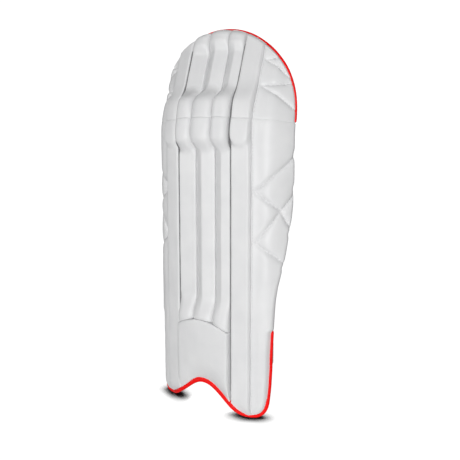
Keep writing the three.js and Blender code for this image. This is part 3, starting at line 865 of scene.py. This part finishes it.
def tape(name, outline, node, wide, knee=False):
    """The binding: tape folded round the edge, with a full rounded fold and thin sewn lips."""
    lower = wide == BINDING
    line = soften(resample(outline, TAPE_STEP), 6)
    slope = np.gradient(line, axis=0)
    normal = np.stack([-slope[:, 1], slope[:, 0]], -1) / np.hypot(*slope.T)[:, None]
    front, back = EDGE_HEIGHT + 0.5, -BACKING - (0.9 if lower else 0.35)
    fold = [(wide, EDGE_HEIGHT - 1.8), (wide, front - 1.3), (wide - 0.5, front - 0.8),
            (wide - 1.6, front - 0.35), (2.6, front), (1.4, front - 0.5), (0.4, front - 1.7),
            (0, front - 3.8), (0.1, 1.5), (0, back + 3.8), (0.4, back + 1.6), (1.4, back + 0.4), (2.9, back),
            (BINDING - 0.5, back), (BINDING, back + 0.4), (BINDING, back + 1.6)]
    count = len(line)
    at_end = np.minimum(np.arange(count), np.arange(count)[::-1]) * TAPE_STEP
    closing = np.sqrt(1 - np.square(1 - np.clip((at_end + 0.4) / 4, 0, 1)))[:, None]
    rings = []
    middle = np.array([BINDING / 2, (front + back) / 2])
    across = line[:, 0]
    low_edge = (line[:, 1] < 60) * lower
    trim = side_trim(line) * lower
    forward = np.stack([(lip(across) - BINDING) * low_edge - trim, arch_rise(across) * low_edge], -1)
    recess = np.stack([RECESS * forward[:, 1], 0 * across], -1)
    if not lower:
        stand = mix(2.5, 1.3, smooth((across + 30) / 60))
        forward[:, 1] = stand * smooth((across + 52) / 16) * smooth((88 - across) / 30)
    for k, (a, h) in enumerate(fold):
        # The first four points are the front lip, and the rest up to the eighth the front of the fold.
        ripple = 0.1 * np.sin(np.arange(count) * 1.9 + a)
        moved = forward * (1 if k < 4 else [0, 1]) if k < 8 else recess * (0.5 if k == 8 else 1)
        section = middle + (np.array([a, h]) + moved - middle) * mix(0.55, 1, closing)
        at = line + section[:, :1] * normal
        rings.append(place(at[:, 0], at[:, 1], section[:, 1] + ripple))
    piece = tube(name, np.stack(rings, 1), [RED], sharp=75)
    declare(piece, "shin_section", "binding", node, knee=knee)
    return (line, normal), piece


def half_outline(edge, side, width):
    """The lower outline on one side: down the arch to the lobe, then up the wing's edge."""
    heights = [t for t, _ in edge if t < BINDING_TOP] + [BINDING_TOP]
    below = [(side * s, float(arch(side * s))) for s in np.linspace(4, width, 20)]
    return below + [(side * lookup(edge, t), t) for t in heights]


lower_outline = half_outline(LEFT_EDGE, -1, ARCH_HALF_WIDTH / (1 - LEFT_ARCH_WIDER))[::-1]
lower_outline += [(0, ARCH_HEIGHT)] + half_outline(RIGHT_EDGE, 1, ARCH_HALF_WIDTH)
lower_line, LOWER_TAPE = tape("binding_instep_edge", lower_outline, "instep_binding", BINDING)
angles = np.radians(np.linspace(1.0, 179.0, 120))
crown_outline = np.stack([UPPER_HALF_WIDTH * np.cos(angles), KNEE + UPPER_LENGTH * np.sin(angles)], -1)
crown_line, CROWN_TAPE = tape("binding_crown_edge", crown_outline, "crown_binding", CROWN_BINDING, knee=True)


# ---- straps
STRAP_WIDTH, WEBBING_THICK, PATCH = 38.0, 2.5, 1.5
TURN, ANCHOR_LENGTH, TAIL_LENGTH = 12.0, 42.0, 38.0
INSIDE = -BACKING - 0.6
PATCH_GAP = 0.4
# name, t, bow, angle at which it leaves the wing in degrees, distance past the edge, section
STRAPS = [("ankle", 112, 112, 84, 1.5, "shin"), ("calf", 352, 62, 64, 3.0, "shin"),
          ("knee", 552, 56, 64, 3.0, "knee")]
KNEE_STRAP_T = STRAPS[2][1]


def in_section(s, h):
    """Points (s, h) in the plane of a section across the pad."""
    around = np.abs(s)
    wrap = np.interp(around, S_GRID, WRAP_ANGLE)
    x = np.sign(s) * (np.interp(around, S_GRID, SECTION_X) + h * np.sin(wrap))
    return np.stack(np.broadcast_arrays(x, np.interp(around, S_GRID, SECTION_Y) - h * np.cos(wrap)), -1)


def from_section(points, up, t):
    """Section-plane points, raised by up along the pad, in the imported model's frame, in metres."""
    lean = float(np.interp(t, T_GRID, LEAN_ANGLE))
    depth = points[..., 1] - PIVOT_DEPTH
    y = PIVOT_DEPTH + np.interp(t, T_GRID, SPINE_Y) + depth * np.cos(lean) + up * np.sin(lean) + SHIFT
    z = np.interp(t, T_GRID, SPINE_Z) - depth * np.sin(lean) + up * np.cos(lean)
    return np.stack([points[..., 0] + 0 * up, y, z], -1) * 0.001


def bezier(points, count):
    points, f = [np.asarray(p, float) for p in points], np.linspace(0, 1, count)[:, None]
    while len(points) > 1:
        points = [mix(a, b, f) for a, b in zip(points, points[1:])]
    return points[0]


def ribbon(name, line, width, thick, t, materials, ends=1.0):
    """A flat band with rounded edges along a line of the section plane."""
    slope = np.gradient(line, axis=0)
    across = np.stack([slope[:, 1], -slope[:, 0]], -1) / np.hypot(*slope.T)[:, None]
    q = np.linspace(-1, 1, 15)
    cord = 1 - 0.10 * np.cos(np.pi * q * 6)
    edge = np.sqrt(1 - np.clip((np.abs(q) - 0.93) / 0.07, 0, 1) ** 2) * 0.8 + 0.2
    half_width = np.full(len(line), width / 2)
    half_width[[0, -1]] -= ends
    upper = np.stack([q, edge * cord], -1)
    lower = np.stack([q[::-1], -edge[::-1] * cord[::-1]], -1)
    rings = []
    for up, out in np.concatenate([upper, lower]):
        rings.append(from_section(line + across * out * thick / 2, up * half_width, t))
    return tube(name, np.stack(rings, 1), materials, sharp=50)


def outer_edge_at(part, t):
    return lookup(WING_EDGE, t) if part == "shin" else upper_edge(t, 0)


def on_wing(s0, s1, h):
    return in_section(dense(s0, s1, 1.6), h)


TAILS = {}
for name, t, bow, leave, out, part in STRAPS:
    reach = STRAP_WIDTH / 2 + 2
    edge = float(min(outer_edge_at(part, t - reach), outer_edge_at(part, t + reach)))
    body, closure = f"{part}_section", f"{name}_closure"
    anchor_line = on_wing(edge - ANCHOR_LENGTH, edge - 2, INSIDE - WEBBING_THICK / 2)
    anchor = ribbon(f"strap_anchor_{name}", anchor_line, STRAP_WIDTH, WEBBING_THICK, t, [WEBBING])
    declare(anchor, body, "webbing", f"{name}_strap_anchor")
    patch_edge = 10 - edge
    loop = ribbon(f"loop_patch_{name}", on_wing(patch_edge, patch_edge + TAIL_LENGTH + 6, INSIDE - PATCH / 2),
                  STRAP_WIDTH + 4, PATCH, t, [LOOP])
    declare(loop, body, "loop", f"{name}_loop_patch")
    hook_front = INSIDE - PATCH - PATCH_GAP
    hook_line = on_wing(patch_edge + 4, patch_edge + TAIL_LENGTH - 4, hook_front - PATCH / 2)
    hook = ribbon(f"hook_patch_{name}", hook_line, STRAP_WIDTH - 4, PATCH, t, [HOOK])
    declare(hook, closure, "hook", f"{name}_hook_patch")
    wing = float(np.interp(edge, S_GRID, WRAP_ANGLE))
    hinge = in_section(edge, INSIDE - WEBBING_THICK / 2) + out * np.array([math.cos(wing), math.sin(wing)])
    leave_angle = wing + math.radians(leave)
    leaving = np.array([math.cos(leave_angle), math.sin(leave_angle)])
    arriving = np.array([-leaving[0], leaving[1]])
    tail_middle = hook_front - PATCH - PATCH_GAP - WEBBING_THICK / 2
    corner = in_section(-edge - out, tail_middle)
    bend = corner + TURN * arriving
    landing = in_section(patch_edge, tail_middle)
    line = np.concatenate([
        bezier([hinge, hinge + bow * leaving, bend + bow * arriving, bend], 60),
        bezier([bend, corner, landing], 16)[1:],
        on_wing(patch_edge, patch_edge + TAIL_LENGTH, tail_middle)[1:],
    ])
    strap = ribbon(f"strap_{name}", resample(line, 2.0), STRAP_WIDTH, WEBBING_THICK, t, [WEBBING], 2.0)
    declare(strap, closure, "webbing", f"{name}_strap")
    TAILS[name] = (t, edge, patch_edge, part, anchor, loop, strap)


# ---- stitching
STITCH_SEAM = 90.0  # s of the seam between bolster and wing
LIP_INSET = 1.1  # from a lip's edge to its stitches
RAY_START, RAY_REACH = 60, 0.08  # h in front of or behind the pad, and metres


def surface(*pieces):
    """The pieces' faces, for finding where a stitch lies."""
    points, faces = [], []
    for piece in pieces:
        first = len(points)
        points += [v.co.copy() for v in piece.data.vertices]
        faces += [[first + i for i in face.vertices] for face in piece.data.polygons]
    return BVHTree.FromPolygons(points, faces)


def stitch_mesh(name, centres, along, up, length, radius, material):
    """Short rounded stitches, each with its ends pulled into the cover."""
    x = np.array([-0.5, -0.36, 0, 0.36, 0.5])
    r = np.array([0.25, 0.85, 1, 0.85, 0.25])
    turn = np.linspace(0, 2 * np.pi, 6, endpoint=False)
    side = np.cross(along, up)
    side /= np.linalg.norm(side, axis=1, keepdims=True)
    up = np.cross(side, along)
    points, faces = [], []
    for k in range(len(centres)):
        first = len(points)
        for xk, rk in zip(x, r):
            middle = centres[k] + along[k] * xk * length + up[k] * radius * (0.55 - 4.6 * xk * xk)
            points += [middle + radius * rk * (math.cos(q) * side[k] + math.sin(q) * up[k]) for q in turn]
        for ring in range(len(x) - 1):
            base = first + 6 * ring
            faces += [[base + q, base + (q + 1) % 6, base + 6 + (q + 1) % 6, base + 6 + q] for q in range(6)]
        last = first + 6 * (len(x) - 1)
        faces += [[first + q for q in range(5, -1, -1)], [last + q for q in range(6)]]
    return mesh_object(name, points, faces, [material], sharp=80)


def sew(name, lines, tree, material, body=None, back=False, length=3.6, pitch=5.2, radius=0.45, slot="cover"):
    """Rows of stitches along lines of (s, t), laid on a surface."""
    centres, along, up = [], [], []
    start, stop = (-RAY_START if back else RAY_START), 0
    for line in lines:
        line = resample(line, pitch)
        slope = np.gradient(line, axis=0)
        slope /= np.hypot(*slope.T)[:, None]
        for at, step in zip(line[1:-1], slope[1:-1]):
            hits = []
            for f in (-0.5, 0.5):
                q = at + step * f * length
                a, b = (Vector(place(q[0], q[1], h).ravel()) for h in (start, stop))
                hits.append(tree.ray_cast(a, (b - a).normalized(), RAY_REACH))
            if any(hit[0] is None for hit in hits) or (hits[0][0] - hits[1][0]).length > length * 0.0016:
                continue
            centres.append((hits[0][0] + hits[1][0]) / 2)
            along.append((hits[1][0] - hits[0][0]).normalized())
            up.append((hits[0][1] + hits[1][1]).normalized())
    piece = stitch_mesh(name, np.array(centres), np.array(along), np.array(up), length * 0.001, radius * 0.001,
                        material)
    declare(piece, body, slot, knee=body is None)


def straight(s, t0, t1):
    return [(s, t) for t in dense(t0, t1, 5)]


def offset_line(bound, a):
    line, normal = bound
    return line + a * normal


for label, side in (("left", -1), ("right", 1)):
    wings = surface(WINGS[label, "shin"], WINGS[label, "knee"])
    seam_lines = [straight(side * STITCH_SEAM, 14, 494), straight(side * STITCH_SEAM, 506, 618)]
    sew(f"stitches_{label}_seam", seam_lines, wings, THREAD)
    for part, lines in (("shin", LOWER_SEAMS), ("knee", UPPER_SEAMS)):
        inside = [[(side * a, b) for a, b in line] for line in lines]
        sew(f"stitches_{label}_quilting_{part}", inside, surface(WINGS[label, part]), THREAD, pitch=4.6,
            length=3.2, radius=0.36)
lip_seam = offset_line(lower_line, BINDING - LIP_INSET - side_trim(lower_line[0])[:, None])
sew("stitches_instep_binding", [lip_seam], surface(LOWER_TAPE), RED_THREAD,
    "shin_section", pitch=4.6, slot="binding")
sew("stitches_instep_binding_back", [offset_line(lower_line, BINDING - LIP_INSET)], surface(LOWER_TAPE),
    RED_THREAD, "shin_section", back=True, pitch=4.6, slot="binding")
sew("stitches_crown_binding", [offset_line(crown_line, CROWN_BINDING - LIP_INSET)], surface(CROWN_TAPE),
    RED_THREAD, pitch=4.6, slot="binding")
# The knee strap lies over the binding where it leaves the wing, so there are no stitches there.
crown_back = offset_line(crown_line, BINDING - LIP_INSET)
under_strap = (crown_back[:, 0] > 0) * (np.abs(crown_back[:, 1] - KNEE_STRAP_T) < STRAP_WIDTH / 2 + 4)
first, last = np.flatnonzero(under_strap)[[0, -1]]
sew("stitches_crown_binding_back", [crown_back[:first], crown_back[last + 1:]], surface(CROWN_TAPE),
    RED_THREAD, back=True, pitch=4.6, radius=0.25, slot="binding")


def box(s0, s1, t0, t1, cross=False):
    """Stitch lines round a patch, with a cross inside if asked."""
    lines = [[(s0, t0), (s1, t0)], [(s1, t0), (s1, t1)], [(s1, t1), (s0, t1)], [(s0, t1), (s0, t0)]]
    return lines + ([[(s0, t0), (s1, t1)], [(s0, t1), (s1, t0)]] if cross else [])


for name, (t, edge, patch_edge, part, anchor, loop, strap) in TAILS.items():
    sew(f"stitches_{name}_anchor", box(edge - 38, edge - 8, t - 15, t + 15, True), surface(anchor), THREAD,
        f"{part}_section", back=True, length=3.0, pitch=4.2, radius=0.4, slot="webbing")
    sew(f"stitches_{name}_loop", box(patch_edge + 2.5, patch_edge + 41.5, t - 18.5, t + 18.5), surface(loop),
        THREAD, f"{part}_section", back=True, length=2.6, pitch=3.8, radius=0.3, slot="loop")
    sew(f"stitches_{name}_tail", box(patch_edge + 3, patch_edge + 35, t - 16, t + 16), surface(strap), THREAD,
        f"{name}_closure", back=True, length=3.0, pitch=4.2, radius=0.4, slot="webbing")


# ---- canes and other carried-over pieces
for name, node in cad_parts.items():
    node.data.materials.clear()
    node.data.materials.append(CANE.material if name.startswith("cane") else WHITE)


# ---- each piece baked in place or parented to its body, and the nodes it stands for hidden
for piece, body, slot, nodes, knee, fill in PIECES:
    if knee:
        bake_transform(piece)
    else:
        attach(piece, body)
    if nodes:
        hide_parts(*nodes)


# ---- stage, light and camera
FLOOR = 9  # half its side, in metres
CONTACT_REACH = 0.021  # how near the pad the floor's painted contact shadow reaches, in metres
SKY_STRENGTH, BACKDROP_STRENGTH = 0.31, 1.1

floor_mesh = bpy.data.meshes.new("floor")
floor_mesh.from_pydata([(-FLOOR, -FLOOR, 0), (FLOOR, -FLOOR, 0), (FLOOR, FLOOR, 0), (-FLOOR, FLOOR, 0)], [],
                       [(0, 1, 2, 3)])
floor = bpy.data.objects.new("floor", floor_mesh)
bpy.context.scene.collection.objects.link(floor)
pale = Nodes("pale_floor", (0.02, 0.02, 0.02), 0.9, Specular_IOR_Level=0.0)
pale.shader.inputs["Emission Color"].default_value = (1, 1, 1, 1)
# The floor glows, and an ambient-occlusion node dims that glow near the pad: a painted contact shadow, not one
# cast by the lamps.
painted_contact_shadow = pale.add("ShaderNodeAmbientOcclusion", Distance=CONTACT_REACH)
painted_contact_shadow.samples = 8
lift = pale.add("ShaderNodeMapRange", **{"From Min": 0.52, "From Max": 0.95, "To Max": 1.05})
pale.link(painted_contact_shadow.outputs["AO"], lift.inputs["Value"])
pale.link(lift.outputs["Result"], pale.shader.inputs["Emission Strength"])
floor_mesh.materials.append(pale.material)
floor.visible_diffuse = floor.visible_glossy = False

world = bpy.data.worlds.new("studio")
bpy.context.scene.world = world
world.use_nodes = True
sky = world.node_tree.nodes["Background"]
sky.inputs["Color"].default_value = (1, 1, 1, 1)
sky.inputs["Strength"].default_value = SKY_STRENGTH
bright = world.node_tree.nodes.new("ShaderNodeBackground")
bright.inputs["Color"].default_value = (1, 1, 1, 1)
bright.inputs["Strength"].default_value = BACKDROP_STRENGTH
seen = world.node_tree.nodes.new("ShaderNodeLightPath")
either = world.node_tree.nodes.new("ShaderNodeMixShader")
world.node_tree.links.new(seen.outputs["Is Camera Ray"], either.inputs["Fac"])
world.node_tree.links.new(sky.outputs[0], either.inputs[1])
world.node_tree.links.new(bright.outputs[0], either.inputs[2])
world.node_tree.links.new(either.outputs[0], world.node_tree.nodes["World Output"].inputs["Surface"])


LIGHT_DISTANCE, LIGHT_AIM = 3.0, (0, 0, 0.33)


def softbox(name, azimuth, elevation, size, power):
    """A square area light aimed at the middle of the pad. Azimuth 0 is in front."""
    light = bpy.data.objects.new(name, bpy.data.lights.new(name, "AREA"))
    light.data.size = size
    light.data.energy = power
    a, e = math.radians(azimuth), math.radians(elevation)
    at = Vector((math.sin(a) * math.cos(e), -math.cos(a) * math.cos(e), math.sin(e)))
    at = at * LIGHT_DISTANCE
    light.location = Vector(LIGHT_AIM) + at
    light.rotation_euler = (-at).to_track_quat("-Z", "Y").to_euler()
    bpy.context.scene.collection.objects.link(light)
    return light


softbox("key", 28, -3, 0.8, 84)
softbox("back", 205, 25, 1.6, 34)
gloss = softbox("gloss", -34, 10, 1.4, 22)
gloss.visible_diffuse = False

scene = bpy.context.scene
scene.view_settings.view_transform = "Standard"
scene.view_settings.look = "None"

# In metres; y is measured from the middle of the backing.
CAMERA_PLACE, CAMERA_AIM = (0.67618, -0.82547, 0.4625), (-0.60247, 0.78661, -0.13520)
FOCAL_PIXELS, FRAME_PIXELS, SENSOR = 623.5, 460.0, 36
camera = bpy.data.objects.new("camera", bpy.data.cameras.new("camera"))
camera.data.sensor_width = SENSOR
camera.data.lens = SENSOR * FOCAL_PIXELS / FRAME_PIXELS
camera.location = (CAMERA_PLACE[0], CAMERA_PLACE[1] + SHIFT * 0.001, CAMERA_PLACE[2])
camera.rotation_euler = Vector(CAMERA_AIM).to_track_quat("-Z", "Y").to_euler()
bpy.context.scene.collection.objects.link(camera)
scene.camera = camera
